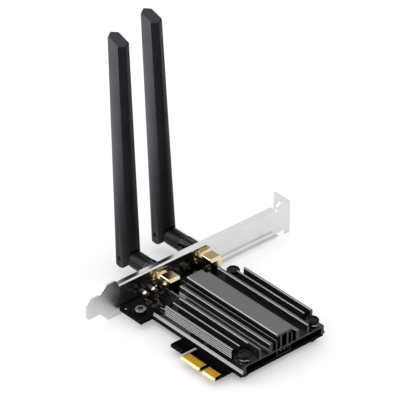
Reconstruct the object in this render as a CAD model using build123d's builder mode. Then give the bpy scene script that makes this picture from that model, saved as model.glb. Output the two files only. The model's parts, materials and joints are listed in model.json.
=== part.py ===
"""Wireless network card for a one-lane expansion slot, with two folding antennas.

Millimetres. The datum is the slot key: X = 0 at the middle of the key notch, Y = 0 at
the contact edge, Z = 0 at mid-thickness of the board. +X runs away from the bracket,
+Y from the contacts to the bracket's screw tab, +Z is the component side.
"""
import os
from math import atan2, cos, degrees, radians, sin, tan

from build123d import *

# circuit board
board_thickness = 1.57
board_top = board_thickness / 2
board_bottom = -board_thickness / 2
board_far_y = 58.6
board_low_y = 11.0
ear_x = -43.6
ear_y = 4.4
side_tab_x = -22.8
side_tab_width = 7.3
side_tab_y = 3.4

# slot contacts, one lane
contact_left = -12.60
contact_right = 8.60
key_width = 1.90
key_depth = 7.0
finger_pitch = 1.00
finger_width = 0.72
finger_length = 3.7
finger_thickness = 0.06
finger_start = 0.75
finger_round = 0.3
left_fingers = 11
right_fingers = 7
edge_bevel = 0.52
edge_bevel_length = 1.20

# bracket, folded sheet
sheet = 0.86
bracket_x = -59.05
bracket_tip_y = -13.15
bracket_length = 120.02
bracket_width = 18.42
bracket_low_z = -3.62
tongue_width = 10.19
tongue_low_z = 1.20
tongue_end_y = -5.8
wide_start_y = -2.0
wide_low_y = -1.0
shoulder_in = 0.6
shoulder_drop = 2.2
fold_start_y = 5.2
fold_end_y = 97.0
fold_top_z = 11.70
fold_out = 3.10
fold_in = 2.50
fold_overlap = 2.0
neck_drop = 4.4
top_corner = 2.0
ear_cut = 1.2
ear_start = 3.0
ear_slope = 1.6
end_overlap = 1.0
bend_radius = 0.90
tab_bend_radius = 0.30
board_clearance = 0.10
end_low_z = -1.45
end_high_z = 14.20
step_y = 103.9
tab_high_z = 12.20
tab_reach = 10.80
tab_overlap = 0.5
tab_notch_width = 4.42
tab_notch_depth = 6.10
tab_notch_x = 5.616
cut_over = 1.0
foot_width = 9.0
foot_reach = 13.0
foot_corner = 1.5
light_hole_d = 2.2
light_hole_z = 1.25
light_first_y = 19.7
light_pitch = 4.9
light_count = 3

# bracket screw
screw_x = -50.0
screw_y = 9.6
screw_d = 2.90
screw_hole_d = 3.10
screw_head_d = 5.4
screw_head_h = 1.7
screw_length = 4.0
screw_round = 0.7
cross_width = 0.8
cross_length = 2.97
cross_depth = 1.02

# heat sink extrusion
sink_x = -43.6
sink_length = 58.1
sink_y = 11.95
sink_width = 46.4
sink_ceiling = 4.185
sink_base_top = 4.985
fin_top = 9.685
leg_thickness = 1.5
lip_step = 0.50
lip_groove = 0.30
lip_ledge = 0.45
fin_chamfer = 0.24
fin_root = 0.3
fin_offsets = (0.0, 4.15, 8.35, 14.65, 18.55)
fin_widths = (1.10, 0.75, 1.55, 1.75, 0.60)
plate_width = 8.9
plate_top = 12.725
plate_thickness = 1.3
plate_chamfer = 0.36
stem_width = 1.0
stem_spacing = 3.8
stem_root = 0.4
rib_height = 0.40
rib_pitch = 1.06
rib_land = 0.10
outer_rib_start = 1.06
inner_rib_start = 0.25
outer_ribs = 4
inner_ribs = 2
pocket_length = 7.5
pocket_width = 8.8
pocket_corner = 1.5
board_inset = 0.6

# push pins
pin_inset = 3.55
pin_side_inset = 3.60
pin_shank_d = 3.0
pin_hole_d = 3.3
pin_head_d = 6.0
pin_head_h = 1.7
pin_head_top = 8.3
pin_groove_d = 4.2
pin_barb_d = 3.9
pin_barb_h = 1.5
pin_tip = bracket_low_z
pin_tip_taper = 0.7
pin_seat = 0.05
pin_edge = 0.4
dimple_depth = 0.4
dimple_slope = 0.2
spring_wire = 0.5
spring_d = 4.4
spring_turns = 2.0

# radio module, shield and pad under the heat sink
module_x = -14.5
module_y = 35.0
module_length = 16.0
module_width = 12.0
module_thickness = 0.5
shield_height = 1.9
shield_inset = 0.35
shield_corner = 0.6
shield_round = 0.25
pad_end_inset = 1.5
pad_side_inset = 1.0

# internal header at the far end
header_inset = 0.4
header_y = 35.2
header_width = 8.2
header_length = 4.4
header_height = 3.2
header_wall = 0.6
header_floor = 1.2
header_pitch = 2.0
header_pin = 0.4
header_pin_count = 4
pin_setback = 0.6

# coaxial jacks
jack_first_y = 28.9
jack_spacing = 24.2
jack_z = 6.35
jack_block_x = 3.5
jack_block_length = 6.4
jack_slope = 1.2
jack_corner = 0.5
jack_edge = 0.25
jack_block_width = 6.3
jack_block_top = 3.30
jack_leg = 0.9
jack_leg_length = 2.6
jack_leg_spacing = 4.4
leg_clearance = 0.05
jack_thread_d = 6.20
jack_thread_pitch = 0.72
jack_thread_depth = 0.22
thread_lead = 0.3
thread_start = 0.5
thread_end = 0.3
flank_share = 0.4
root_share = 0.2
jack_out = 5.4
jack_bore_d = 4.6
jack_hole_d = 6.6
flange_width = 7.0
flange_height = 8.0
flange_thickness = 1.0
flange_corner = 0.4
washer_d = 8.4
washer_thickness = 0.5
washer_teeth = 12
washer_tooth_r = 0.45
insulator_length = 5.4
insulator_setback = 1.6
socket_d = 1.3
socket_length = 4.6

# antennas
left_unscrewed = 0.0
right_unscrewed = 4.0
left_lean = 2.8
right_lean = 4.2
blade_length = 107.9
blade_bottom_r = 5.55
blade_top_half_x = 5.15
blade_top_flat = 3.25
blade_top_half_y = 3.15
blade_top_slant = 21.5
blade_edge = 0.35
blade_under = 0.5
blade_over = 1.0
blade_wall = 1.2
hollow_point = 1.56
hollow_flat = 0.6
cavity_start = 8.5
cavity_end = 100.0
radiator_width = 4.0
radiator_thickness = 0.8
radiator_length = 82.0
fork_depth = 4.5
fork_width = 10.0
slot_width = 4.2
knuckle_r = 4.1
knuckle_start = 4.7
knuckle_end = 14.4
knuckle_round = 0.4
tongue_r = 3.7
tongue_clearance = 0.25
fork_gap = 0.10
spigot_r = 2.6
spigot_clearance = 0.06
spigot_head_r = 2.95
spigot_head_length = 0.3
collar_r = 4.40
collar_length = 6.6
collar_wall = 0.8
collar_clearance = 0.08
collar_gap = 0.10
collar_play = 0.05
collar_rim = 0.7
collar_rim_drop = 0.05
knurl_count = 20
knurl_r = 0.38
knurl_out = 0.13
hinge_pin_d = 2.3
hinge_pin_length = 9.0
hinge_pin_clearance = 0.03

# small parts on the board near the bracket
chip_sizes = ((1.0, 0.5, 0.5), (1.6, 0.8, 0.8))
capacitor_spots = ((-48.4, 16.2), (-48.4, 18.6), (-51.6, 20.4), (-54.4, 22.6), (-46.8, 24.0),
                   (-47.0, 40.0), (-50.6, 41.2), (-54.0, 42.4), (-46.8, 46.0))
resistor_spots = ((-52.4, 15.6), (-52.4, 17.2), (-55.0, 17.2), (-55.0, 25.0), (-52.0, 37.6),
                  (-54.6, 38.8), (-47.4, 43.2))
regulator_spot = (-49.4, 36.6)
regulator_size = (2.9, 1.6, 1.1)
inductor_spot = (-54.6, 46.4)
inductor_size = (3.0, 3.0, 1.5)
light_body = (1.8, 1.5, 1.45)
light_round = 0.45
light_gap = 0.2

os.makedirs("parts", exist_ok=True)
parts = {}

# values shared by several parts
outer_face = bracket_x - sheet
board_near_x = bracket_x + bend_radius + board_clearance
bracket_end_y = bracket_tip_y + bracket_length
bracket_high_z = bracket_low_z + bracket_width
sink_end = sink_x + sink_length
board_far_x = sink_end - board_inset
header_x = sink_end - header_inset
sink_far_y = sink_y + sink_width
sink_mid_x = sink_x + sink_length / 2
sink_mid_y = sink_y + sink_width / 2
pin_spots = [(x, y)
             for x in (sink_x + pin_inset, sink_end - pin_inset)
             for y in (sink_y + pin_side_inset, sink_far_y - pin_side_inset)]
jack_ys = (jack_first_y, jack_first_y + jack_spacing)
unscrewed = (left_unscrewed, right_unscrewed)
leans = (left_lean, right_lean)
jack_block_mid = bracket_x + jack_block_x + jack_block_length / 2
leg_spots = [(jack_block_mid + i * jack_leg_spacing / 2, y + j * jack_leg_spacing / 2)
             for y in jack_ys for i in (-1, 1) for j in (-1, 1)]
light_ys = [light_first_y + i * light_pitch for i in range(light_count)]
left_finger_xs = [-key_width / 2 - finger_start - i * finger_pitch for i in range(left_fingers)]
right_finger_xs = [key_width / 2 + finger_start + i * finger_pitch for i in range(right_fingers)]
finger_xs = left_finger_xs + right_finger_xs


def yz_plane(x):
    """Plane across the card at x: its local axes are the card's Y and Z, normal +X."""
    return Plane(origin=(x, 0, 0), x_dir=(0, 1, 0), z_dir=(1, 0, 0))


def save(name, piece):
    """Label one finished part and write its file."""
    piece.label = name
    parts[name] = piece
    export_step(piece, f"parts/{name}.step")


# circuit board
with BuildPart() as board:
    with BuildSketch(Plane.XY.offset(board_bottom)):
        with BuildLine():
            Polyline((board_near_x, ear_y), (ear_x, ear_y), (ear_x, board_low_y),
                     (side_tab_x, board_low_y), (side_tab_x, side_tab_y),
                     (side_tab_x + side_tab_width, side_tab_y),
                     (side_tab_x + side_tab_width, board_low_y), (contact_left, board_low_y),
                     (contact_left, 0), (contact_right, 0), (contact_right, board_low_y),
                     (board_far_x, board_low_y), (board_far_x, board_far_y),
                     (board_near_x, board_far_y), close=True)
        make_face()
        with Locations((0, (key_depth - key_width / 2) / 2)):
            Rectangle(key_width, key_depth - key_width / 2, mode=Mode.SUBTRACT)
        with Locations((0, key_depth - key_width / 2)):
            Circle(key_width / 2, mode=Mode.SUBTRACT)
        with Locations(*pin_spots):
            Circle(pin_hole_d / 2, mode=Mode.SUBTRACT)
        with Locations((screw_x, screw_y)):
            Circle(screw_hole_d / 2, mode=Mode.SUBTRACT)
        with Locations(*leg_spots):
            Circle(jack_leg / 2 + leg_clearance, mode=Mode.SUBTRACT)
    extrude(amount=board_thickness)
    for i in range(2):
        tip_face = board.faces().filter_by(Axis.Y).group_by(Axis.Y)[0].sort_by(Axis.X)[i]
        chamfer(tip_face.edges().filter_by(Axis.X), length=edge_bevel, length2=edge_bevel_length,
                reference=tip_face)
save("board", board.part)


def contact_row(face_z, direction):
    """Gold fingers on one side of the board; direction is the outward sense of that side."""
    with BuildPart() as row:
        with BuildSketch(Plane.XY.offset(face_z)):
            with Locations(*[(x, edge_bevel_length + finger_length / 2) for x in finger_xs]):
                RectangleRounded(finger_width, finger_length, finger_round)
        extrude(amount=direction * finger_thickness)
    return row.part


save("contacts_top", contact_row(board_top, 1))
save("contacts_bottom", contact_row(board_bottom, -1))

# bracket: flat tongue, folded middle, flat end and bent tab
tongue_high_z = tongue_low_z + tongue_width
fold_low_z = board_bottom - sheet
with BuildPart() as bracket:
    with BuildSketch(yz_plane(outer_face)):
        with BuildLine():
            Polyline((bracket_tip_y, tongue_low_z + ear_cut), (bracket_tip_y + ear_cut, tongue_low_z),
                     (tongue_end_y, tongue_low_z), (wide_low_y, bracket_low_z),
                     (fold_start_y + fold_overlap, bracket_low_z),
                     (fold_start_y + fold_overlap, bracket_high_z - neck_drop),
                     (fold_start_y, fold_top_z - bend_radius),
                     (fold_start_y - shoulder_in, bracket_high_z - shoulder_drop),
                     (fold_start_y - top_corner, bracket_high_z), (wide_start_y, bracket_high_z),
                     (tongue_end_y, tongue_high_z), (bracket_tip_y + top_corner, tongue_high_z),
                     (bracket_tip_y, tongue_high_z - top_corner), close=True)
        make_face()
    extrude(amount=sheet)
    with BuildSketch(Plane.XZ.offset(-fold_start_y)):
        with BuildLine():
            FilletPolyline((outer_face - fold_out + sheet, fold_top_z), (bracket_x, fold_top_z),
                           (bracket_x, board_bottom), (bracket_x + fold_in, board_bottom),
                           radius=bend_radius)
            offset(amount=sheet, side=Side.RIGHT)
        make_face()
    extrude(amount=-(fold_end_y - fold_start_y))
    with BuildSketch(yz_plane(outer_face)):
        with BuildLine():
            Polyline((fold_end_y - end_overlap, end_low_z + ear_cut), (fold_end_y + end_overlap, end_low_z),
                     (step_y, end_low_z), (step_y, end_high_z - top_corner), (step_y - ear_slope, end_high_z),
                     (fold_end_y + ear_start, end_high_z), (fold_end_y + ear_cut, end_high_z - ear_slope),
                     (fold_end_y + ear_cut, fold_top_z - end_overlap),
                     (fold_end_y - end_overlap, fold_top_z - end_overlap), close=True)
        make_face()
    extrude(amount=sheet)
    with BuildSketch(Plane.XY.offset(bracket_low_z)):
        with BuildLine():
            FilletPolyline((bracket_x, step_y - tab_overlap), (bracket_x, bracket_end_y),
                           (bracket_x - tab_reach, bracket_end_y), radius=tab_bend_radius + sheet)
            offset(amount=sheet, side=Side.LEFT)
        make_face()
    extrude(amount=tab_high_z - bracket_low_z)
    tab_plane = Plane(origin=(bracket_x - tab_notch_x, bracket_end_y + cut_over, bracket_low_z),
                      x_dir=(1, 0, 0), z_dir=(0, -1, 0))
    with BuildSketch(tab_plane):
        with Locations((0, tab_notch_depth / 2 - cut_over)):
            SlotOverall(tab_notch_depth + 2 * cut_over, tab_notch_width, rotation=90)
    extrude(amount=2 * cut_over + sheet, mode=Mode.SUBTRACT)
    with BuildSketch(Plane.XY.offset(fold_low_z)):
        with Locations((bracket_x + foot_reach / 2, screw_y)):
            RectangleRounded(foot_reach, foot_width, foot_corner)
    extrude(amount=sheet)
    with BuildSketch(Plane.XY.offset(fold_low_z)):
        with Locations((screw_x, screw_y)):
            Circle(screw_d / 2)
    extrude(amount=sheet, mode=Mode.SUBTRACT)
    with BuildSketch(yz_plane(outer_face)):
        with Locations(*[(y, jack_z) for y in jack_ys]):
            Circle(jack_hole_d / 2)
        with Locations(*[(y, light_hole_z) for y in light_ys]):
            Circle(light_hole_d / 2)
    extrude(amount=sheet, mode=Mode.SUBTRACT)
save("bracket", bracket.part)

# screw that holds the board to the bracket's foot
with BuildPart() as bracket_screw:
    with BuildSketch(Plane.XY.offset(board_top)):
        with Locations((screw_x, screw_y)):
            Circle(screw_head_d / 2)
    extrude(amount=screw_head_h)
    fillet(bracket_screw.edges().group_by(Axis.Z)[-1], screw_round)
    with BuildSketch(Plane.XY.offset(board_top + screw_head_h)):
        with Locations((screw_x, screw_y)):
            Rectangle(cross_length, cross_width)
            Rectangle(cross_width, cross_length)
    extrude(amount=-cross_depth, mode=Mode.SUBTRACT)
    with BuildSketch(Plane.XY.offset(board_top)):
        with Locations((screw_x, screw_y)):
            Circle(screw_d / 2)
    extrude(amount=-screw_length)
save("bracket_screw", bracket_screw.part)


# heat sink: one extruded section, then pockets for the push pins
def fin_outline(y, width, top, cut):
    """Upright fin section from the base to top, both top corners chamfered by cut."""
    half = width / 2
    Polygon((y - half, sink_base_top - fin_root), (y + half, sink_base_top - fin_root), (y + half, top - cut),
            (y + half - cut, top), (y - half + cut, top), (y - half, top - cut), align=None)


def rib_outline(y, z, direction):
    """Small three-sided rib that runs along a fin wall."""
    half = (rib_pitch - rib_land) / 2
    Polygon((y, z - half), (y + direction * rib_height, z), (y, z + half), align=None)


with BuildPart() as heat_sink:
    with BuildSketch(yz_plane(sink_x)):
        with Locations((sink_mid_y, (sink_ceiling + sink_base_top) / 2)):
            Rectangle(sink_width, sink_base_top - sink_ceiling)
        for side in (-1, 1):
            wall = sink_mid_y + side * sink_width / 2
            leg_mid = wall - side * leg_thickness / 2
            with Locations((leg_mid, (board_top + sink_base_top) / 2)):
                Rectangle(leg_thickness, sink_base_top - board_top)
            ledge = board_top + lip_ledge
            groove = ledge + lip_step
            inner = wall + side * (lip_step - lip_groove)
            Polygon((wall, board_top), (inner + side * lip_step, board_top), (inner + side * lip_step, ledge),
                    (inner, groove), (wall + side * lip_step, groove + lip_groove),
                    (wall, groove + lip_groove + lip_step), align=None)
            for fin_offset, width in zip(fin_offsets, fin_widths):
                fin_y = wall - side * (fin_offset + width / 2)
                fin_outline(fin_y, width, fin_top, min(fin_chamfer, width / 4))
            for i in range(outer_ribs):
                rib_outline(wall, fin_top - outer_rib_start - i * rib_pitch, side)
            for i in range(inner_ribs):
                inner_rib_z = sink_base_top + inner_rib_start + i * rib_pitch
                rib_outline(wall - side * fin_offsets[3], inner_rib_z, side)
            stem_mid_z = (sink_base_top + plate_top) / 2 - stem_root
            with Locations((sink_mid_y + side * stem_spacing / 2, stem_mid_z)):
                Rectangle(stem_width, plate_top - sink_base_top)
        half = plate_width / 2
        cut = plate_chamfer
        plate_low = plate_top - plate_thickness
        Polygon((sink_mid_y - half, plate_low), (sink_mid_y + half, plate_low),
                (sink_mid_y + half, plate_top - cut), (sink_mid_y + half - cut, plate_top),
                (sink_mid_y - half + cut, plate_top), (sink_mid_y - half, plate_top - cut), align=None)
    extrude(amount=sink_length)
    with BuildSketch(Plane.XY.offset(sink_base_top)):
        for end in (-1, 1):
            for side in (-1, 1):
                middle = (sink_mid_x + end * sink_length / 2, sink_mid_y + side * sink_width / 2)
                with Locations(middle):
                    RectangleRounded(2 * pocket_length, 2 * pocket_width, pocket_corner)
    extrude(amount=plate_top, mode=Mode.SUBTRACT)
    with BuildSketch(Plane.XY.offset(sink_ceiling)):
        with Locations(*pin_spots):
            Circle(pin_hole_d / 2)
    extrude(amount=sink_base_top - sink_ceiling, mode=Mode.SUBTRACT)
save("heat_sink", heat_sink.part)

# push pins, one shape at four places
with BuildPart() as pin_shape:
    with BuildSketch(Plane.XZ):
        with BuildLine():
            Polyline((0, pin_tip), (pin_shank_d / 2 - pin_tip_taper, pin_tip),
                     (pin_barb_d / 2, pin_tip + pin_barb_h), (pin_barb_d / 2, board_bottom - pin_seat),
                     (pin_shank_d / 2, board_bottom - pin_seat), (pin_shank_d / 2, pin_head_top - pin_head_h),
                     (pin_head_d / 2, pin_head_top - pin_head_h), (pin_head_d / 2, pin_head_top - pin_edge),
                     (pin_head_d / 2 - pin_edge, pin_head_top), (pin_groove_d / 2, pin_head_top),
                     (pin_groove_d / 2 - dimple_slope, pin_head_top - dimple_depth),
                     (0, pin_head_top - dimple_depth), close=True)
        make_face()
    revolve(axis=Axis.Z)
with BuildPart() as push_pins:
    with Locations(*pin_spots):
        add(pin_shape.part)
save("push_pins", push_pins.part)

# coil springs under the pin heads
spring_low = sink_base_top + spring_wire / 2
spring_high = pin_head_top - pin_head_h - spring_wire / 2
with BuildPart() as spring_shape:
    with BuildLine() as coil:
        Helix((spring_high - spring_low) / spring_turns, spring_high - spring_low, spring_d / 2)
    with BuildSketch(Plane(origin=coil.line @ 0, z_dir=coil.line % 0)):
        RegularPolygon(spring_wire / 2, 6)
    sweep(path=coil.line, is_frenet=True)
with BuildPart() as pin_springs:
    with Locations(*[(x, y, spring_low) for x, y in pin_spots]):
        add(spring_shape.part)
save("pin_springs", pin_springs.part)

# radio module, its shield and the pad that meets the heat sink
module_top = board_top + module_thickness
shield_top = module_top + shield_height
with BuildPart() as module_base:
    with BuildSketch(Plane.XY.offset(board_top)):
        with Locations((module_x, module_y)):
            Rectangle(module_length, module_width)
    extrude(amount=module_thickness)
save("module_base", module_base.part)

with BuildPart() as module_shield:
    with BuildSketch(Plane.XY.offset(module_top)):
        with Locations((module_x, module_y)):
            RectangleRounded(module_length - 2 * shield_inset, module_width - 2 * shield_inset, shield_corner)
    extrude(amount=shield_height)
    fillet(module_shield.edges().group_by(Axis.Z)[-1], shield_round)
save("module_shield", module_shield.part)

with BuildPart() as thermal_pad:
    with BuildSketch(Plane.XY.offset(shield_top)):
        with Locations((module_x, module_y)):
            Rectangle(module_length - 2 * pad_end_inset, module_width - 2 * pad_side_inset)
    extrude(amount=sink_ceiling - shield_top)
save("thermal_pad", thermal_pad.part)

# internal header: open box facing the far end, with its row of pins
header_mid_x = header_x - header_length / 2
with BuildPart() as header_housing:
    with BuildSketch(Plane.XY.offset(board_top)):
        with Locations((header_mid_x, header_y)):
            Rectangle(header_length, header_width)
    extrude(amount=header_height)
    with BuildSketch(yz_plane(header_x)):
        with Locations((header_y, board_top + header_height / 2)):
            Rectangle(header_width - 2 * header_wall, header_height - 2 * header_wall)
    extrude(amount=-(header_length - header_floor), mode=Mode.SUBTRACT)
    with BuildSketch(yz_plane(header_x - header_length)):
        with GridLocations(header_pitch, 1, header_pin_count, 1):
            with Locations((header_y, board_top + header_height / 2)):
                Rectangle(header_pin, header_pin)
    extrude(amount=header_floor, mode=Mode.SUBTRACT)
save("header_housing", header_housing.part)

with BuildPart() as header_pins:
    with BuildSketch(yz_plane(header_x - header_length)):
        with GridLocations(header_pitch, 1, header_pin_count, 1):
            with Locations((header_y, board_top + header_height / 2)):
                Rectangle(header_pin, header_pin)
    extrude(amount=header_length - pin_setback)
save("header_pins", header_pins.part)


# coaxial jacks: block on the board, flange, threaded barrel through the bracket
def jack(y):
    """One jack body with its axis along X at y."""
    axis = Axis((bracket_x, y, jack_z), (1, 0, 0))
    out_x = outer_face - jack_out
    in_x = bracket_x + jack_block_x
    crest = jack_thread_d / 2
    root = crest - jack_thread_depth
    turns = int((in_x - out_x - thread_start - thread_end) / jack_thread_pitch)
    outline = [(out_x, 0), (out_x, root), (out_x + thread_lead, crest)]
    for i in range(turns):
        start = out_x + thread_start + i * jack_thread_pitch
        outline += [(start, crest), (start + jack_thread_pitch * flank_share, root),
                    (start + jack_thread_pitch * (flank_share + root_share), root)]
    outline += [(in_x, root), (in_x, 0)]
    with BuildPart() as body:
        with BuildSketch(Plane(origin=(0, y, jack_z), x_dir=(1, 0, 0), z_dir=(0, -1, 0))):
            with BuildLine():
                Polyline(*outline, close=True)
            make_face()
        revolve(axis=axis)
        with BuildSketch(Plane.XY.offset(board_top)):
            with Locations((jack_block_mid, y)):
                Rectangle(jack_block_length, jack_block_width)
        extrude(amount=jack_z + jack_block_top - board_top)
        chamfer(body.edges().filter_by(Axis.Z).group_by(Axis.X)[-1], jack_corner)
        chamfer(body.faces().sort_by(Axis.Z)[-1].edges().filter_by(Axis.Y).sort_by(Axis.X)[-1], jack_slope)
        chamfer(body.faces().sort_by(Axis.Z)[-1].edges().filter_by(Axis.X), jack_edge)
        with BuildSketch(yz_plane(bracket_x + washer_thickness)):
            with Locations((y, jack_z)):
                RectangleRounded(flange_width, flange_height, flange_corner)
        extrude(amount=flange_thickness)
        with BuildSketch(Plane.XY.offset(board_top)):
            with Locations(*[spot for spot in leg_spots if abs(spot[1] - y) < jack_spacing / 2]):
                Circle(jack_leg / 2)
        extrude(amount=-jack_leg_length)
        with BuildSketch(yz_plane(out_x)):
            with Locations((y, jack_z)):
                Circle(jack_bore_d / 2)
        extrude(amount=insulator_length, mode=Mode.SUBTRACT)
    return body.part


for side_name, y in zip(("left", "right"), jack_ys):
    save(f"jack_{side_name}", jack(y))

with BuildPart() as lock_washers:
    with BuildSketch(yz_plane(bracket_x)):
        with Locations(*[(y, jack_z) for y in jack_ys]):
            Circle(washer_d / 2)
            with PolarLocations(washer_d / 2, washer_teeth):
                Circle(washer_tooth_r, mode=Mode.SUBTRACT)
            Circle(jack_hole_d / 2, mode=Mode.SUBTRACT)
    extrude(amount=washer_thickness)
save("lock_washers", lock_washers.part)

insulator_x = outer_face - jack_out + insulator_setback
with BuildPart() as jack_insulators:
    with BuildSketch(yz_plane(insulator_x)):
        with Locations(*[(y, jack_z) for y in jack_ys]):
            Circle(jack_bore_d / 2)
            Circle(socket_d / 2, mode=Mode.SUBTRACT)
    extrude(amount=insulator_length - insulator_setback)
save("jack_insulators", jack_insulators.part)

with BuildPart() as jack_contacts:
    with BuildSketch(yz_plane(outer_face - jack_out + insulator_length)):
        with Locations(*[(y, jack_z) for y in jack_ys]):
            Circle(socket_d / 2)
    extrude(amount=-socket_length)
save("jack_contacts", jack_contacts.part)


# antennas: coupling collar, knuckle, hinge pin and folding blade
def collar(x_end, y):
    """Knurled coupling sleeve that ends at x_end on its bracket side."""
    x_start = x_end - collar_length
    with BuildPart() as sleeve:
        with BuildSketch(yz_plane(x_start)):
            with Locations((y, jack_z)):
                Circle(collar_r)
                with PolarLocations(collar_r + knurl_out, knurl_count):
                    RegularPolygon(knurl_r, 4, mode=Mode.SUBTRACT)
        extrude(amount=collar_length)
        with BuildSketch(yz_plane(x_start)):
            with Locations((y, jack_z)):
                Circle(collar_r - collar_rim_drop)
        extrude(amount=collar_rim)
        with BuildSketch(yz_plane(x_start + collar_wall)):
            with Locations((y, jack_z)):
                Circle(jack_thread_d / 2 + collar_clearance)
        extrude(amount=collar_length, mode=Mode.SUBTRACT)
        with BuildSketch(yz_plane(x_start)):
            with Locations((y, jack_z)):
                Circle(spigot_r + spigot_clearance)
        extrude(amount=collar_wall, mode=Mode.SUBTRACT)
    return sleeve.part


def knuckle(x, y):
    """Round arm along X with a flat tongue around the hinge at x."""
    tongue_width_y = slot_width - 2 * tongue_clearance
    hinge_plane = Plane(origin=(x, y + tongue_width_y / 2, jack_z), x_dir=(1, 0, 0), z_dir=(0, -1, 0))
    with BuildPart() as arm:
        with BuildSketch(yz_plane(x + knuckle_start)):
            with Locations((y, jack_z)):
                Circle(knuckle_r)
        extrude(amount=knuckle_end - knuckle_start)
        fillet(arm.edges().sort_by(Axis.X)[0], knuckle_round)
        with BuildSketch(hinge_plane):
            Circle(tongue_r)
            with Locations(((knuckle_start + knuckle_round) / 2, 0)):
                Rectangle(knuckle_start + knuckle_round, 2 * tongue_r)
        extrude(amount=tongue_width_y)
        with BuildSketch(yz_plane(x + knuckle_end)):
            with Locations((y, jack_z)):
                Circle(spigot_r)
        extrude(amount=collar_wall + 2 * collar_play)
        with BuildSketch(yz_plane(x + knuckle_end + collar_wall + 2 * collar_play)):
            with Locations((y, jack_z)):
                Circle(spigot_head_r)
        extrude(amount=spigot_head_length)
        with BuildSketch(hinge_plane):
            Circle(hinge_pin_d / 2 + hinge_pin_clearance)
        extrude(amount=tongue_width_y, mode=Mode.SUBTRACT)
    return arm.part


def corner_points(half_x, flat, half_y):
    """Six corners, from the +X point round to the -Y side."""
    return [(half_x, 0), (flat, half_y), (-flat, half_y), (-half_x, 0), (-flat, -half_y), (flat, -half_y)]


def blade_plane(x, y, tilt):
    """Plane across a blade at its hinge, normal along the blade."""
    t = radians(tilt)
    return Plane(origin=(x, y, jack_z), x_dir=(cos(t), 0, sin(t)), z_dir=(-sin(t), 0, cos(t)))


def cross_plane(x, y, tilt):
    """Plane along a blade, seen from -Y, with its normal along -Y."""
    t = radians(tilt)
    return Plane(origin=(x, y, jack_z), x_dir=(cos(t), 0, sin(t)), z_dir=(0, -1, 0))


def six_arcs(radius, angles):
    """Circle drawn as six arcs that meet the six corners' directions."""
    for first, last in zip(angles, angles[1:] + angles[:1]):
        last += 360 if last < first else 0
        stops = [radians(a) for a in (first, (first + last) / 2, last)]
        ThreePointArc(*[(radius * cos(a), radius * sin(a)) for a in stops])


def blade(x, y, tilt):
    """Antenna blade: hollow, round at the hinge, six-sided at the tip, forked round the tongue."""
    base = blade_plane(x, y, tilt)
    tip = corner_points(blade_top_half_x, blade_top_flat, blade_top_half_y)
    hollow_tip = corner_points(blade_top_half_x - hollow_point, blade_top_flat - hollow_flat,
                               blade_top_half_y - blade_wall)
    angles = [degrees(atan2(v, u)) for u, v in tip]
    over = blade_top_half_x * tan(radians(blade_top_slant)) + blade_over
    wide = 2 * blade_bottom_r
    arm_top = knuckle_r + fork_gap
    with BuildPart() as body:
        with BuildSketch(base.offset(-fork_depth - blade_under)):
            with BuildLine():
                six_arcs(blade_bottom_r, angles)
            make_face()
        with BuildSketch(base.offset(blade_length + over)):
            Polygon(*tip, align=None)
        loft()
        cut_plane = Plane(origin=base.from_local_coords((0, 0, blade_length)), x_dir=(0, 1, 0),
                          z_dir=base.z_dir.rotate(Axis.Y, blade_top_slant))
        split(bisect_by=cut_plane, keep=Keep.BOTTOM)
        chamfer(body.faces().sort_by(Axis.Z)[-1].edges(), blade_edge)
        with BuildSketch(cross_plane(x, y + fork_width / 2, tilt)):
            Ellipse(blade_bottom_r, fork_depth)
            with Locations((wide / 2, 0)):
                Rectangle(wide, 2 * fork_depth, mode=Mode.SUBTRACT)
            Circle(fork_depth)
            Polygon((-wide, 0), (fork_depth, 0), (fork_depth, arm_top), (wide, arm_top),
                    (wide, 2 * blade_length), (-wide, 2 * blade_length), align=None)
        extrude(amount=fork_width, mode=Mode.INTERSECT)
        with BuildSketch(cross_plane(x, y + slot_width / 2, tilt)):
            with Locations((0, tongue_r + tongue_clearance - 2 * fork_depth)):
                Rectangle(2 * wide, 4 * fork_depth)
        extrude(amount=slot_width, mode=Mode.SUBTRACT)
        with BuildSketch(cross_plane(x, y + wide, tilt)):
            Circle(hinge_pin_d / 2)
        extrude(amount=2 * wide, mode=Mode.SUBTRACT)
        with BuildSketch(base.offset(cavity_start)):
            with BuildLine():
                six_arcs(blade_bottom_r - blade_wall, angles)
            make_face()
        with BuildSketch(base.offset(cavity_end)):
            Polygon(*hollow_tip, align=None)
        loft(mode=Mode.SUBTRACT)
    return body.part


def radiator(x, y, tilt):
    """Flat antenna element that stands on the floor of the blade's hollow."""
    with BuildPart() as strip:
        with BuildSketch(blade_plane(x, y, tilt).offset(cavity_start)):
            Rectangle(radiator_width, radiator_thickness)
        extrude(amount=radiator_length)
    return strip.part


def hinge_pin(x, y):
    """Plain pin across the fork."""
    with BuildPart() as pin:
        with BuildSketch(Plane(origin=(x, y + hinge_pin_length / 2, jack_z), z_dir=(0, -1, 0))):
            Circle(hinge_pin_d / 2)
        extrude(amount=hinge_pin_length)
    return pin.part


for side_name, back_off, y, tilt in zip(("left", "right"), unscrewed, jack_ys, leans):
    collar_end = outer_face - collar_gap - back_off
    x = collar_end - collar_length - collar_play - knuckle_end
    save(f"collar_{side_name}", collar(collar_end, y))
    save(f"knuckle_{side_name}", knuckle(x, y))
    save(f"hinge_pin_{side_name}", hinge_pin(x, y))
    save(f"blade_{side_name}", blade(x, y, tilt))
    save(f"radiator_{side_name}", radiator(x, y, tilt))


# small parts on the board
def boxes(spots, size):
    """Equal boxes standing on the board."""
    with BuildPart() as group:
        with BuildSketch(Plane.XY.offset(board_top)):
            with Locations(*spots):
                Rectangle(size[0], size[1])
        extrude(amount=size[2])
    return group.part


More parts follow.
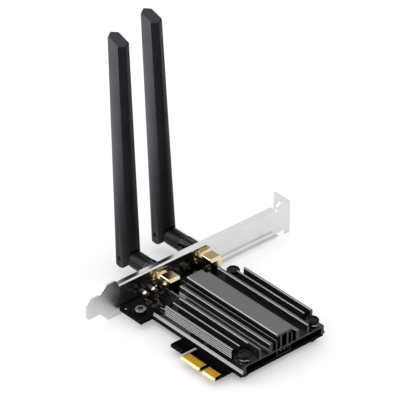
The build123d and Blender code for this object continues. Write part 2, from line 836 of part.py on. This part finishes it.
light_x = board_near_x + light_body[1] / 2 + light_gap
with BuildPart() as status_lights:
    with BuildSketch(Plane.XY.offset(board_top)):
        with Locations(*[(light_x, y) for y in light_ys]):
            Rectangle(light_body[1], light_body[0])
    extrude(amount=light_body[2])
    fillet(status_lights.edges().group_by(Axis.Z)[-1], light_round)
save("status_lights", status_lights.part)
save("capacitors", boxes(capacitor_spots, chip_sizes[1]))
save("resistors", boxes(resistor_spots, chip_sizes[0]))
save("regulator", boxes([regulator_spot], regulator_size))
save("inductor", boxes([inductor_spot], inductor_size))

whole = Compound(children=list(parts.values()))
box = whole.bounding_box()
print("parts", len(parts), "box", box.min, box.max)
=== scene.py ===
"""Wireless card with two folding antennas: finishes, fine parts, light and camera.

Metres. The frame is the card's own: X along the contact edge away from the bracket,
Y from the contacts to the bracket's tab, Z out of the component side.
"""

import json
import math

import bpy
import numpy as np
from mathutils import Matrix, Vector


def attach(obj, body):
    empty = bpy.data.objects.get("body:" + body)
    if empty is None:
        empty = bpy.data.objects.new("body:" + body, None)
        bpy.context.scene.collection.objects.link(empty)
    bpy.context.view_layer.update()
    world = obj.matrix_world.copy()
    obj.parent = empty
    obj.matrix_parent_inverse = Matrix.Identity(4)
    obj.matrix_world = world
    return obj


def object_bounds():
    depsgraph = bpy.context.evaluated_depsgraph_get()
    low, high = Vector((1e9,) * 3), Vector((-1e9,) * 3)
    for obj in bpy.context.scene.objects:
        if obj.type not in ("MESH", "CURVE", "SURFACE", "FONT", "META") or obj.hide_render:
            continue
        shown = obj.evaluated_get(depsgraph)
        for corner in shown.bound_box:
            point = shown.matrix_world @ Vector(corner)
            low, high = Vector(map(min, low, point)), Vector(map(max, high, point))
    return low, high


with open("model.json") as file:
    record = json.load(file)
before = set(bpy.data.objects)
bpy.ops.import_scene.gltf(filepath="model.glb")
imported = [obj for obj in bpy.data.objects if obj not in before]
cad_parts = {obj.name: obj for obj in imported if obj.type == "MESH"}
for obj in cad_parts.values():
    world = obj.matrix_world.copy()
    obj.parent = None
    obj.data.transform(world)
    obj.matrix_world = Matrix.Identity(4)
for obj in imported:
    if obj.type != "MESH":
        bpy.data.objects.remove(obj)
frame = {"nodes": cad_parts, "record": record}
nodes = frame["nodes"]
cad_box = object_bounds()
scene = bpy.context.scene
MM = 0.001
MICRON = 0.000001

# places on the card, in millimetres, as the solids have them
BOARD_TOP = 0.785
BOARD_BOTTOM = -0.785
BEVEL_END = 1.20
SCREW_SPOT = (-50.0, 9.6)
DOT_SPOT = (-55.5, 5.9)
JACK_X = -52.35
JACK_YS = (28.9, 53.1)
JACK_TOP = 9.65
LEG_STEP = 2.2
LEG_END = -1.815
EDGE_SHADE_TOP = -3.46
TONGUE_FADE = (-4.0, 14.0)
SINK_MID = 35.15
SINK_HALF = 23.2
SINK_SHADE_END = (5.0, 11.0)
FIN_TOP = 9.685
FIN_FOOT = 5.1
PLATE_TOP = 12.725
PLATE_HALF = 4.6
LIP_TOP = 2.6
LIP_GROOVE = (1.70, 1.98)
RIB_TIP = 8.625
RIB_PITCH = 1.06
FIRST_FINGER = 1.70
FINGER_HALF = 0.36
BLADE_SHADE_FADE = (12.0, 62.0)
CAPACITOR_SPOTS = ((-48.4, 16.2), (-48.4, 18.6), (-51.6, 20.4), (-54.4, 22.6), (-46.8, 24.0),
                   (-47.0, 40.0), (-50.6, 41.2), (-54.0, 42.4), (-46.8, 46.0))
CAPACITOR_SIZE = (1.6, 0.8, 0.8)
RESISTOR_SPOTS = ((-52.4, 15.6), (-52.4, 17.2), (-55.0, 17.2), (-55.0, 25.0), (-52.0, 37.6),
                  (-54.6, 38.8), (-47.4, 43.2))
RESISTOR_SIZE = (1.0, 0.5, 0.5)
REGULATOR_SPOT = (-49.4, 36.6)
REGULATOR_SIZE = (2.9, 1.6, 1.1)
INDUCTOR_SPOT = (-54.6, 46.4)
INDUCTOR_SIZE = (3.0, 3.0, 1.5)

# fine parts that are made here, in millimetres
CAP_PROUD = 0.02
CAP_EDGE = 0.06
PAD_LONGER = 0.35
PAD_WIDER = 0.30
PAD_THICK = 0.10
PAD_SUNK = 0.02
PAD_EDGE = 0.05
LEAD_PITCH = 0.95
LEAD_RISE = 0.56
LEAD_WIDTH = 0.40
LEAD_THICK = 0.12
LEAD_PATH = ((-0.10, 0.0), (0.16, 0.0), (0.25, -0.05), (0.30, -0.15), (0.33, -0.38), (0.40, -0.47),
             (0.50, -0.50), (0.72, -0.50))
CONE_NECK = 0.47
CONE_SPREAD = 0.62
CONE_HOLLOW = 2.6
LEG_BARE = 0.25
DOT_RADIUS = (0.46, 0.46, 0.42, 0.22)
DOT_HEIGHT = (-0.02, 0.02, 0.04, 0.035)
SHARP_FROM = math.radians(40)

# light levels: the even light on matt surfaces, what is added to the floor where it is shown, and
# how much of its light the floor gives back to the card
AMBIENT = 0.03
FLOOR_LIFT = 0.29
FLOOR_BOUNCE = 0.08
FLOOR_HALF = 2.0


class Tap:
    """One socket of a node tree; operators add the Math nodes they stand for."""

    def __init__(self, tree, socket=None):
        self.tree = tree
        self.socket = socket

    def node(self, kind, settings=None, out=0, **inputs):
        """Adds a node of this kind and taps one of its outputs.

        Its settings are set first, then its sockets, by name or as at0, at1 and so on by number.
        """
        n = self.tree.nodes.new(kind)
        for key, value in (settings or {}).items():
            setattr(n, key, value)
        for key, value in inputs.items():
            place = int(key[2:]) if key.startswith("at") else key.replace("_", " ")
            self.put(n.inputs[place], value)
        return Tap(self.tree, n.outputs[out])

    def put(self, place, value):
        """Links a tapped socket to a place, or writes a plain value there."""
        if isinstance(value, Tap):
            self.tree.links.new(value.socket, place)
        elif place.type == "RGBA":
            place.default_value = (*value, 1.0)
        else:
            place.default_value = value

    def math(self, operation, *values):
        """Math node on this value and any others."""
        sockets = {f"at{i}": v for i, v in enumerate((self, *values))}
        return self.node("ShaderNodeMath", {"operation": operation}, **sockets)

    def __add__(self, other):
        return self.math("ADD", other)

    def __radd__(self, other):
        return self.math("ADD", other)

    def __sub__(self, other):
        return self.math("SUBTRACT", other)

    def __rsub__(self, other):
        return self.node("ShaderNodeMath", {"operation": "SUBTRACT"}, at0=other, at1=self)

    def __mul__(self, other):
        return self.math("MULTIPLY", other)

    def __rmul__(self, other):
        return self.math("MULTIPLY", other)

    def __pow__(self, other):
        return self.math("POWER", other)

    def __lt__(self, other):
        return self.math("LESS_THAN", other)

    def __gt__(self, other):
        return self.math("GREATER_THAN", other)

    def either(self, *others):
        """Largest of this mask and the others."""
        largest = self
        for other in others:
            largest = largest.math("MAXIMUM", other)
        return largest

    def step(self, low, high):
        """Smooth rise from 0 at low to 1 at high."""
        return self.node("ShaderNodeMapRange", {"interpolation_type": "SMOOTHSTEP"},
                         at0=self, at1=low, at2=high, at3=0.0, at4=1.0)

    def spread(self, low, high):
        """Maps 0..1 to low..high."""
        return self.node("ShaderNodeMapRange", at0=self, at1=0.0, at2=1.0, at3=low, at4=high)

    def mix(self, a, b):
        """Colour a where this value is 0, b where it is 1."""
        return self.node("ShaderNodeMix", {"data_type": "RGBA"}, 2, at0=self, at6=a, at7=b)


class Finish:
    """A material under construction: its object coordinates in millimetres and its surface shader."""

    def __init__(self, name):
        self.material = bpy.data.materials.new(name)
        self.material.use_nodes = True
        self.tree = self.material.node_tree
        self.shader = next(n for n in self.tree.nodes if n.type == "BSDF_PRINCIPLED")
        metres = Tap(self.tree).node("ShaderNodeTexCoord", out="Object")
        self.place = metres.node("ShaderNodeVectorMath", {"operation": "SCALE"}, at0=metres, Scale=1 / MM)
        split = self.place.node("ShaderNodeSeparateXYZ", at0=self.place).socket.node
        self.x, self.y, self.z = (Tap(self.tree, axis) for axis in split.outputs)

    def stretched(self, sx, sy, sz):
        """Object place with each axis multiplied, for streaks along the axis with the small factor."""
        return self.place.node("ShaderNodeVectorMath", {"operation": "MULTIPLY"}, at0=self.place,
                               at1=(sx, sy, sz))

    def noise(self, scale, detail=3.0, rough=0.55, place=None):
        """Noise value around 0.5; scale is in features per millimetre."""
        return self.place.node("ShaderNodeTexNoise", Vector=place or self.place, Scale=scale,
                               Detail=detail, Roughness=rough)

    def bump(self, height, microns, strength):
        """Bump normal from a height value that stands for this many thousandths of a millimetre."""
        return height.node("ShaderNodeBump", Height=height, Distance=microns * MICRON, Strength=strength)

    def set(self, **sockets):
        """Writes or links the surface shader's sockets by name."""
        for key, value in sockets.items():
            self.place.put(self.shader.inputs[key.replace("_", " ")], value)
        return self.material


def grey(value):
    """Neutral colour of this level."""
    return (value, value, value)


def mask_finish():
    """Gloss black solder mask over faint tracks, a dull cut edge, and plated finger ends on the bevel,
    painted pale towards its edge as a painted highlight.
    """
    f = Finish("black_mask")
    cloud = f.noise(0.35)
    edge = 1 - f.z.math("ABSOLUTE").step(BOARD_TOP - 0.085, BOARD_TOP - 0.04)
    bevel = 1 - f.y.step(BEVEL_END - 0.12, BEVEL_END - 0.02)
    tracks = f.place.node("ShaderNodeTexBrick", {"offset": 0.37, "squash": 1.6}, "Fac", Vector=f.place,
                          Scale=0.24, Mortar_Size=0.035, Mortar_Smooth=0.6, Brick_Width=1.4, Row_Height=0.32)
    vias = f.place.node("ShaderNodeTexVoronoi", out="Distance", Vector=f.place, Scale=0.42, Randomness=0.85)
    ringed = 1 - (vias - 0.09).math("ABSOLUTE").step(0.02, 0.05)
    solder_side = f.z < BOARD_BOTTOM + 0.01
    tone = (cloud * 0.6 + tracks * 0.4).step(0.3, 0.7)
    colour = tone.mix((0.0028, 0.0028, 0.0030), (0.0050, 0.0050, 0.0054))
    colour = (solder_side * tracks.step(0.2, 0.6)).mix(colour, (0.011, 0.011, 0.012))
    colour = (solder_side * ringed).mix(colour, (0.030, 0.028, 0.022))
    colour = edge.mix(colour, (0.010, 0.0095, 0.008))
    beside = (f.x.math("ABSOLUTE") - FIRST_FINGER).math("PINGPONG", 0.5)
    plated = bevel * (1 - beside.step(FINGER_HALF - 0.04, FINGER_HALF + 0.04))
    # painted highlight: the plated finger ends pale to cream towards the bevel's edge
    gold_and_highlight = f.y.step(0.35, 0.85).mix((0.98, 0.82, 0.48), (0.90, 0.50, 0.06))
    colour = bevel.mix(colour, (0.30, 0.22, 0.09))
    colour = plated.mix(colour, gold_and_highlight)
    rough = cloud.spread(0.14, 0.24) + 0.35 * edge * (1 - bevel)
    height = tracks * 0.6 + f.noise(5.0) * 0.12 + solder_side * ringed * 0.8
    return f.set(Base_Color=colour, Roughness=rough, Metallic=plated,
                 Normal=f.bump(height, 20, 0.35), Specular_IOR_Level=0.035)


def gold_finish(name, base, shade, rough, grain=(1.0, 1.0, 1.0), metal=1.0, shaded_top=None):
    """Gold plate: warm base that deepens in blotches, with fine grain in its gloss.

    rough is its lowest and highest roughness. shaded_top is a height in millimetres and a darker colour
    painted on the top face above it as painted shade; a band below that height, the chamfer, is less
    polished.
    """
    f = Finish(name)
    blotch = f.noise(0.9)
    fine = f.noise(9.0, 2.0, 0.6, f.stretched(*grain))
    colour = (blotch * 0.6 + fine * 0.4).step(0.3, 0.7).mix(base, shade)
    gloss = fine.spread(*rough)
    if shaded_top:
        height, top_shade = shaded_top
        top_face = f.z > height
        # painted shade: the top face above this height gets the darker, browner colour
        colour = top_face.mix(colour, top_shade)
        gloss = gloss + 0.24 * f.z.step(height - 0.75, height - 0.65) * (1 - top_face)
    return f.set(Base_Color=colour, Metallic=metal, Roughness=gloss, Normal=f.bump(fine, 6, 0.5))


def sheet_finish():
    """Bright nickel-plated sheet: drawn grain along the bracket, faint smudges, painted shade along its
    lowest edge, and a duller tongue.
    """
    f = Finish("bright_nickel")
    grain = f.noise(6.0, 3.0, 0.6, f.stretched(1.0, 0.05, 1.0))
    smudge = f.noise(0.16, 2.0)
    colour = smudge.step(0.3, 0.75).mix(grey(0.71), grey(0.68))
    # painted shade: a dark line along the lowest edge of the bracket
    colour = (f.z < EDGE_SHADE_TOP).mix(colour, grey(0.40))
    tongue = 1 - f.y.step(*TONGUE_FADE)
    rough = smudge.spread(0.12, 0.15) + grain * 0.03 + tongue * 0.26
    return f.set(Base_Color=colour, Metallic=1.0, Roughness=rough, Normal=f.bump(grain, 2, 0.3))


def steel_finish(name, base, rough, centre=None):
    """Plain steel, mottled from base to a shade below it; a turned piece gets rings about its centre."""
    f = Finish(name)
    mottle = f.noise(2.5)
    height = f.noise(12.0)
    if centre:
        across = (f.x - centre[0]) ** 2.0 + (f.y - centre[1]) ** 2.0
        height = (across ** 0.5 * 28.0).math("SINE") * 0.5 + height
    colour = mottle.step(0.3, 0.7).mix(base, tuple(0.8 * v for v in base))
    return f.set(Base_Color=colour, Metallic=1.0, Roughness=mottle.spread(*rough),
                 Normal=f.bump(height, 8, 0.4))


def anodised_finish():
    """Black anodised extrusion: die lines along X in a dark satin metal.

    Tops, plate, lips and rib tips are painted paler as painted highlight, and are rougher. Grooves, the
    valleys between ribs and the floor between the fins are painted darker as painted shade.
    """
    f = Finish("black_anodised")
    die = f.noise(4.5, 4.0, 0.6, f.stretched(0.02, 1.0, 1.0))
    sand = f.noise(14.0, 2.0)
    cloud = f.noise(0.25)
    tone = (die * 0.45 + sand * 0.25 + cloud * 0.3).step(0.32, 0.68)
    out = (f.y - SINK_MID).math("ABSOLUTE")
    fin_tops = f.z.step(FIN_TOP - 0.32, FIN_TOP - 0.26) * out.step(PLATE_HALF, PLATE_HALF + 0.1)
    plate = f.z.step(PLATE_TOP - 0.40, PLATE_TOP - 0.34)
    outside = out.step(SINK_HALF, SINK_HALF + 0.05)
    lips = outside * (f.z < LIP_TOP) * (1 - 0.45 * (f.z > LIP_GROOVE[1]))
    groove = outside * (f.z > LIP_GROOVE[0]) * (f.z < LIP_GROOVE[1])
    ribbed = outside * (f.z > LIP_TOP)
    # painted highlight on a band near each rib tip, painted shade in the valley above it
    above_valley = (f.z - RIB_TIP + 0.5 * RIB_PITCH).math("PINGPONG", 0.5 * RIB_PITCH)
    ribs = ribbed * above_valley.step(0.30, 0.42)
    valleys = ribbed * (1 - above_valley.step(0.18, 0.34))
    # painted shade in the lip groove, the rib valleys and the floor between the fins near the far end
    painted_highlight = fin_tops.either(plate, lips, ribs)
    shaded_floor = 0.8 * (f.z < FIN_FOOT) * (1 - outside) * (1 - f.x.step(*SINK_SHADE_END))
    painted_shade = groove.either(valleys, shaded_floor)
    # dark is the anodised colour; pale is its painted highlight
    dark = tone.mix((0.050, 0.050, 0.051), (0.066, 0.066, 0.067))
    pale = tone.mix((0.150, 0.150, 0.152), (0.180, 0.180, 0.183))
    colour = painted_shade.mix(painted_highlight.mix(dark, pale), grey(0.010))
    rough = die.spread(0.13, 0.20) + sand * 0.04 + painted_highlight * 0.14
    height = die * 0.7 + sand * 0.3
    return f.set(Base_Color=colour, Metallic=0.65, Roughness=rough, Normal=f.bump(height, 6, 0.4),
                 Specular_IOR_Level=0.35)


def eroded(f, grain):
    """Surface of a spark-eroded mould: its fine grain, and a tone of slow clouds with that grain in them."""
    fine = f.noise(grain, 2.0, 0.5)
    tone = (f.noise(0.12) * 0.7 + fine * 0.3).step(0.32, 0.68)
    return fine, tone


def blade_finish():
    """Fine matt black of the blades, painted darker towards the bottom of the blade as painted shade, and
    paler higher up.
    """
    f = Finish("blade_matte")
    fine, tone = eroded(f, 7.0)
    # painted shade: the lower blade gets the darker colour, fading to the paler one higher up
    low = tone.mix((0.048, 0.049, 0.054), (0.060, 0.061, 0.067))
    high = tone.mix((0.138, 0.140, 0.160), (0.156, 0.158, 0.180))
    return f.set(Base_Color=f.z.step(*BLADE_SHADE_FADE).mix(low, high), Roughness=fine.spread(0.40, 0.52),
                 Normal=f.bump(fine, 12, 0.6), Specular_IOR_Level=0.06)


def moulded_finish(name, base, pale, rough, grain, depth, level=0.5):
    """Moulded piece: a fine grain in bump and gloss, with slow changes of tone from base to pale.

    rough is its lowest and highest roughness, grain is in features per millimetre, and depth is in
    thousandths of a millimetre.
    """
    f = Finish(name)
    fine, tone = eroded(f, grain)
    return f.set(Base_Color=tone.mix(base, pale), Roughness=fine.spread(*rough),
                 Normal=f.bump(fine, depth, 0.6), Specular_IOR_Level=level)


FINISHES = {
    "board_mask": mask_finish(),
    "contact_gold": gold_finish("contact_gold", (1.0, 0.57, 0.075), (0.90, 0.45, 0.035),
                                rough=(0.36, 0.50), grain=(1.0, 0.1, 1.0), metal=0.8),
    "bracket_nickel": sheet_finish(),
    "screw_steel": steel_finish("screw_zinc", grey(0.22), rough=(0.08, 0.15), centre=SCREW_SPOT),
    "sink_anodised": anodised_finish(),
    "pin_black": moulded_finish("pin_nylon", (0.004, 0.004, 0.0042), (0.007, 0.007, 0.0075),
                                rough=(0.10, 0.20), grain=6.0, depth=6, level=0.10),
    "spring_steel": steel_finish("spring_wire", (0.80, 0.80, 0.79), rough=(0.12, 0.24)),
    "module_laminate": moulded_finish("module_laminate", (0.02, 0.06, 0.03), (0.03, 0.08, 0.04),
                                      rough=(0.30, 0.45), grain=4.0, depth=10),
    "shield_tin": steel_finish("shield_tin", (0.66, 0.66, 0.64), rough=(0.22, 0.38)),
    "pad_grey": moulded_finish("pad_grey", (0.36, 0.39, 0.44), (0.42, 0.45, 0.50),
                               rough=(0.60, 0.80), grain=3.0, depth=30),
    "header_black": moulded_finish("header_nylon", grey(0.006), grey(0.010),
                                   rough=(0.30, 0.45), grain=6.0, depth=8, level=0.15),
    # painted shade: the header's gold pins are given a dark, dull gold
    "pin_gold": gold_finish("pin_gold", (0.40, 0.34, 0.22), (0.34, 0.28, 0.17), rough=(0.15, 0.28)),
    # the jack's top face is painted darker and browner as painted shade
    "jack_gold": gold_finish("jack_gold", (0.88, 0.76, 0.51), (0.80, 0.63, 0.37),
                             rough=(0.10, 0.17), grain=(0.3, 1.0, 1.0),
                             shaded_top=(JACK_TOP - 0.02, (0.36, 0.27, 0.17))),
    "insulator_white": moulded_finish("insulator_white", (0.80, 0.80, 0.77), (0.86, 0.86, 0.84),
                                      rough=(0.35, 0.50), grain=5.0, depth=8),
    "collar_black": moulded_finish("collar_black", (0.004, 0.004, 0.005), (0.007, 0.007, 0.008),
                                   rough=(0.09, 0.16), grain=6.0, depth=6, level=0.20),
    "antenna_black": blade_finish(),
    "hinge_steel": steel_finish("hinge_steel", grey(0.05), rough=(0.35, 0.50)),
    "radiator_laminate": moulded_finish("radiator_laminate", (0.10, 0.16, 0.06), (0.14, 0.20, 0.09),
                                        rough=(0.40, 0.55), grain=3.0, depth=10),
    "light_clear": moulded_finish("light_lens", (0.25, 0.25, 0.22), (0.32, 0.32, 0.29),
                                  rough=(0.10, 0.20), grain=4.0, depth=4, level=0.30),
    "ceramic_tan": moulded_finish("ceramic_tan", (0.034, 0.024, 0.016), (0.052, 0.036, 0.023),
                                  rough=(0.30, 0.45), grain=5.0, depth=10, level=0.20),
    "ceramic_black": moulded_finish("film_black", (0.006, 0.006, 0.007), grey(0.010),
                                    rough=(0.15, 0.30), grain=5.0, depth=10, level=0.20),
    "chip_black": moulded_finish("chip_epoxy", (0.008, 0.008, 0.009), (0.013, 0.013, 0.014),
                                 rough=(0.35, 0.50), grain=7.0, depth=10, level=0.15),
    "ferrite_grey": moulded_finish("ferrite_grey", (0.03, 0.03, 0.031), grey(0.045),
                                   rough=(0.40, 0.60), grain=5.0, depth=20, level=0.15),
}

# the arms are the blades' plastic, made smoother, and painted darker than the blades as painted shade
SHADED_ARM = moulded_finish("arm_smooth", (0.013, 0.013, 0.0145), (0.020, 0.020, 0.022),
                     rough=(0.26, 0.36), grain=7.0, depth=8, level=0.08)
TIN = steel_finish("tinned_end", grey(0.22), rough=(0.30, 0.42))
SOLDER = steel_finish("solder", grey(0.26), rough=(0.26, 0.40))
PLATED = gold_finish("plated_pad", (0.80, 0.74, 0.24), (0.68, 0.62, 0.16), rough=(0.20, 0.34))

for part in frame["record"]["subparts"]:
    mesh = nodes[part["node"]].data
    mesh.materials.clear()
    mesh.materials.append(SHADED_ARM if part["node"].startswith("knuckle") else FINISHES[part["material_slot"]])


def skin(name, finish, rings):
    """Closed skins from an array (pieces, rings, points, 3) in millimetres.

    Neighbouring rings are joined by quads, and each end ring is closed by a fan to its own mean point.
    """
    pieces, rows, points, _ = rings.shape
    ends = rings[:, (0, -1)].mean(axis=2)
    spots = np.concatenate([rings.reshape(pieces, -1, 3), ends], axis=1)
    per_piece = rows * points + 2
    here = np.arange(points)
    after = (here + 1) % points
    row = np.arange(rows - 1)[:, None] * points
    quads = np.stack([row + here, row + after, row + points + after, row + points + here], axis=-1)
    low_fan = np.stack([after, here, np.full(points, rows * points)], axis=-1)
    last = (rows - 1) * points
    high_fan = np.stack([last + here, last + after, np.full(points, rows * points + 1)], axis=-1)
    shift = np.arange(pieces)[:, None, None] * per_piece
    faces = (quads.reshape(-1, 4) + shift).reshape(-1, 4).tolist()
    faces += (low_fan + shift).reshape(-1, 3).tolist()
    faces += (high_fan + shift).reshape(-1, 3).tolist()
    mesh = bpy.data.meshes.new(name)
    mesh.from_pydata((spots.reshape(-1, 3) * MM).tolist(), [], faces)
    mesh.polygons.foreach_set("use_smooth", np.ones(len(faces), bool))
    mesh.set_sharp_from_angle(angle=SHARP_FROM)
    mesh.materials.append(finish)
    piece = bpy.data.objects.new(name, mesh)
    scene.collection.objects.link(piece)
    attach(piece, "card")


def turned(spots, radius, height, points=28):
    """Rings of turned pieces.

    radius and height are the profile, carried round a circle, and each spot is the foot of one axis along Z.
    """
    angle = np.linspace(0, 2 * np.pi, points, endpoint=False)
    circle = np.stack([np.cos(angle), np.sin(angle), np.zeros(points)], axis=-1)
    radius, height = np.asarray(radius, float), np.asarray(height, float)
    one = radius[:, None, None] * circle + height[:, None, None] * np.array([0, 0, 1.0])
    return np.asarray(spots, float)[:, None, None, :] + one


def pillows(centres, size, edge, power, points=32, steps=5):
    """Rings of equal blocks with soft edges, laid along X.

    Each ring is a superellipse, cos and sin to a small power, of the block's width and height. The rings
    shrink by edge at both ends, along a quarter circle.
    """
    length, width, height = size
    angle = np.linspace(0, 2 * np.pi, points, endpoint=False) + np.pi / points
    across = np.sign(np.cos(angle)) * np.abs(np.cos(angle)) ** power / 2
    upward = np.sign(np.sin(angle)) * np.abs(np.sin(angle)) ** power / 2
    curve = np.linspace(0, np.pi / 2, steps)
    shrink = edge * (1 - np.sin(curve))
    run = edge * (1 - np.cos(curve)) - length / 2
    inset = 2 * np.concatenate([shrink, shrink[::-1]])[:, None]
    along = np.concatenate([run, -run[::-1]])[:, None]
    one = np.stack(np.broadcast_arrays(along, (width - inset) * across, (height - inset) * upward), axis=-1)
    return centres[:, None, None, :] + one


def ribbons(path, starts, side, width, thickness):
    """Rings of bent leads: a flat bar, width by thickness, carried along path in the plane of Y and Z.

    side is +1 or -1 for each lead and turns the path to that side; starts are the points where leads begin.
    """
    path = np.asarray(path, float)
    run = np.gradient(path, axis=0)
    run /= np.linalg.norm(run, axis=1, keepdims=True)
    over = np.stack([-run[:, 1], run[:, 0]], axis=1) * thickness / 2
    outline = np.array([(-1, -1), (1, -1), (1, 1), (-1, 1)], float)
    one = np.empty((len(path), len(outline), 3))
    one[..., 0] = outline[:, 0] * width / 2
    one[..., 1:] = path[:, None, :] + over[:, None, :] * outline[None, :, 1:]
    rings = np.repeat(one[None], len(starts), axis=0)
    rings[..., 1] *= side[:, None, None]
    rings[side > 0] = rings[side > 0][:, :, ::-1]
    return starts[:, None, None, :] + rings


def on_board(spots, height):
    """Points at this height above the board's component side."""
    return np.column_stack([spots, np.full(len(spots), BOARD_TOP + height)])


def both_ends(spots, reach):
    """Each spot moved by reach along X, once each way."""
    spots = np.asarray(spots, float)
    return np.concatenate([spots - (reach, 0), spots + (reach, 0)])


def end_caps(name, spots, size, cover):
    """Tinned caps over both ends of small chips, proud of the chip on each face, with their solder pads."""
    length, width, height = size
    cap = (cover + CAP_PROUD, width + 2 * CAP_PROUD, height + CAP_PROUD)
    places = on_board(both_ends(spots, (length - cover + CAP_PROUD) / 2), cap[2] / 2)
    skin(name + "_caps", TIN, pillows(places, cap, CAP_EDGE, power=0.2))
    pad = (cover + PAD_LONGER, width + PAD_WIDER, PAD_THICK)
    feet = on_board(both_ends(spots, length / 2), PAD_THICK / 2 - PAD_SUNK)
    skin(name + "_pads", SOLDER, pillows(feet, pad, PAD_EDGE, power=0.3))


end_caps("capacitor", CAPACITOR_SPOTS, CAPACITOR_SIZE, cover=0.36)
end_caps("resistor", RESISTOR_SPOTS, RESISTOR_SIZE, cover=0.24)
end_caps("inductor", [INDUCTOR_SPOT], INDUCTOR_SIZE, cover=0.45)

# regulator: two leads on one side and three on the other, bent down to the board
lead_side = np.array([-1, -1, 1, 1, 1])
lead_x = REGULATOR_SPOT[0] + LEAD_PITCH * np.array([-1, 1, -1, 0, 1])
lead_y = REGULATOR_SPOT[1] + lead_side * REGULATOR_SIZE[1] / 2
lead_start = on_board(np.column_stack([lead_x, lead_y]), LEAD_RISE)
skin("regulator_leads", TIN, ribbons(LEAD_PATH, lead_start, lead_side, LEAD_WIDTH, LEAD_THICK))

# solder cones round the jack's legs, hollow-sided from the pad to the leg
legs = [(JACK_X + i * LEG_STEP, y + j * LEG_STEP, BOARD_BOTTOM) for y in JACK_YS
        for i in (-1, 1) for j in (-1, 1)]
down = np.linspace(1, 0, 9)
cone_radius = CONE_NECK + CONE_SPREAD * (1 - down) ** CONE_HOLLOW
cone_depth = (LEG_END + LEG_BARE - BOARD_BOTTOM) * down
skin("leg_solder", SOLDER, turned(legs, cone_radius, cone_depth))

# plated spot beside the foot of the bracket
skin("plated_dot", PLATED, turned(on_board([DOT_SPOT], 0), DOT_RADIUS, DOT_HEIGHT))


def lamp(name, target, direction, distance, size, radiance):
    """Square area lamp that looks at target from direction; radiance is what a mirror shows of it."""
    light = bpy.data.lights.new(name, "AREA")
    light.shape = "SQUARE"
    light.size = size
    light.energy = math.pi * size * size * radiance
    holder = bpy.data.objects.new(name, light)
    scene.collection.objects.link(holder)
    towards = Vector(direction).normalized()
    holder.location = target + towards * distance
    holder.rotation_euler = towards.to_track_quat("Z", "Y").to_euler()
    return holder


def light_only(light, receiver, state):
    """Lets a lamp light just this object, or every object but this one."""
    group = bpy.data.collections.new(light.name + "_lights")
    group.objects.link(receiver)
    group.collection_objects[0].light_linking.link_state = state
    light.light_linking.receiver_collection = group


def shown_rays(tree):
    """1 for the rays that show the surround itself: seen, mirrored or seen through something clear."""
    rays = Tap(tree).node("ShaderNodeLightPath").socket.node
    seen, mirrored, through = (Tap(tree, rays.outputs[name])
                               for name in ("Is Camera Ray", "Is Glossy Ray", "Is Transmission Ray"))
    return seen.either(mirrored, through)


def surround():
    """World: white for the camera and for reflections, a low even light for the rest."""
    world = bpy.data.worlds.new("surround")
    world.use_nodes = True
    sky = world.node_tree
    background = next(n for n in sky.nodes if n.type == "BACKGROUND")
    colour = shown_rays(sky).mix(grey(AMBIENT), grey(1.0))
    colour.put(background.inputs["Color"], colour)
    return world


def floor_finish():
    """Pale floor: takes the shadows, and is lifted to white for the camera and in reflections."""
    f = Finish("pale_floor")
    shown = shown_rays(f.tree)
    speck = f.noise(0.05).mix(grey(0.93), grey(0.95))
    return f.set(Base_Color=shown.mix(grey(FLOOR_BOUNCE), speck), Roughness=0.9, Specular_IOR_Level=0.0,
                 Emission_Color=shown.mix(grey(0.0), grey(FLOOR_LIFT)), Emission_Strength=1.0)


def floor_sheet(low):
    """Flat square at the height the card lies on."""
    corners = np.array([(-1, -1, 0), (1, -1, 0), (1, 1, 0), (-1, 1, 0)], float) * FLOOR_HALF
    corners[:, 2] = low
    mesh = bpy.data.meshes.new("floor")
    mesh.from_pydata(corners.tolist(), [], [(0, 1, 2, 3)])
    floor = bpy.data.objects.new("floor", mesh)
    scene.collection.objects.link(floor)
    mesh.materials.append(floor_finish())
    return floor


scene.view_settings.view_transform = "Standard"
scene.world = surround()
floor = floor_sheet(cad_box[0][2])

# the key lights all but the floor, and a wide lamp overhead lights the floor alone, for soft shadows
middle = Vector((-0.040, 0.045, 0.040))
key = lamp("key_left", middle, direction=(-0.66, -0.56, 0.50), distance=0.80, size=0.80, radiance=3.9)
wash = lamp("floor_wash", middle, direction=(0.0, 0.0, 1.0), distance=1.00, size=6.00, radiance=0.89)
light_only(wash, floor, "INCLUDE")
light_only(key, floor, "EXCLUDE")

# camera as the photograph was taken: long lens, slightly rolled
right = Vector((0.66007, 0.75120, 0.00421))
up = Vector((-0.40952, 0.35513, 0.84034))
back = Vector((0.62976, -0.55640, 0.54204))
stand = Vector((0.84550, -0.74737, 0.81465))
eye = bpy.data.cameras.new("eye")
eye.sensor_width = 36.0
eye.lens = 295.05
eye.clip_start = 0.05
eye.clip_end = 20.0
camera = bpy.data.objects.new("eye", eye)
scene.collection.objects.link(camera)
turn = Matrix((right, up, back)).transposed().to_4x4()
camera.matrix_world = Matrix.Translation(stand) @ turn
scene.camera = camera
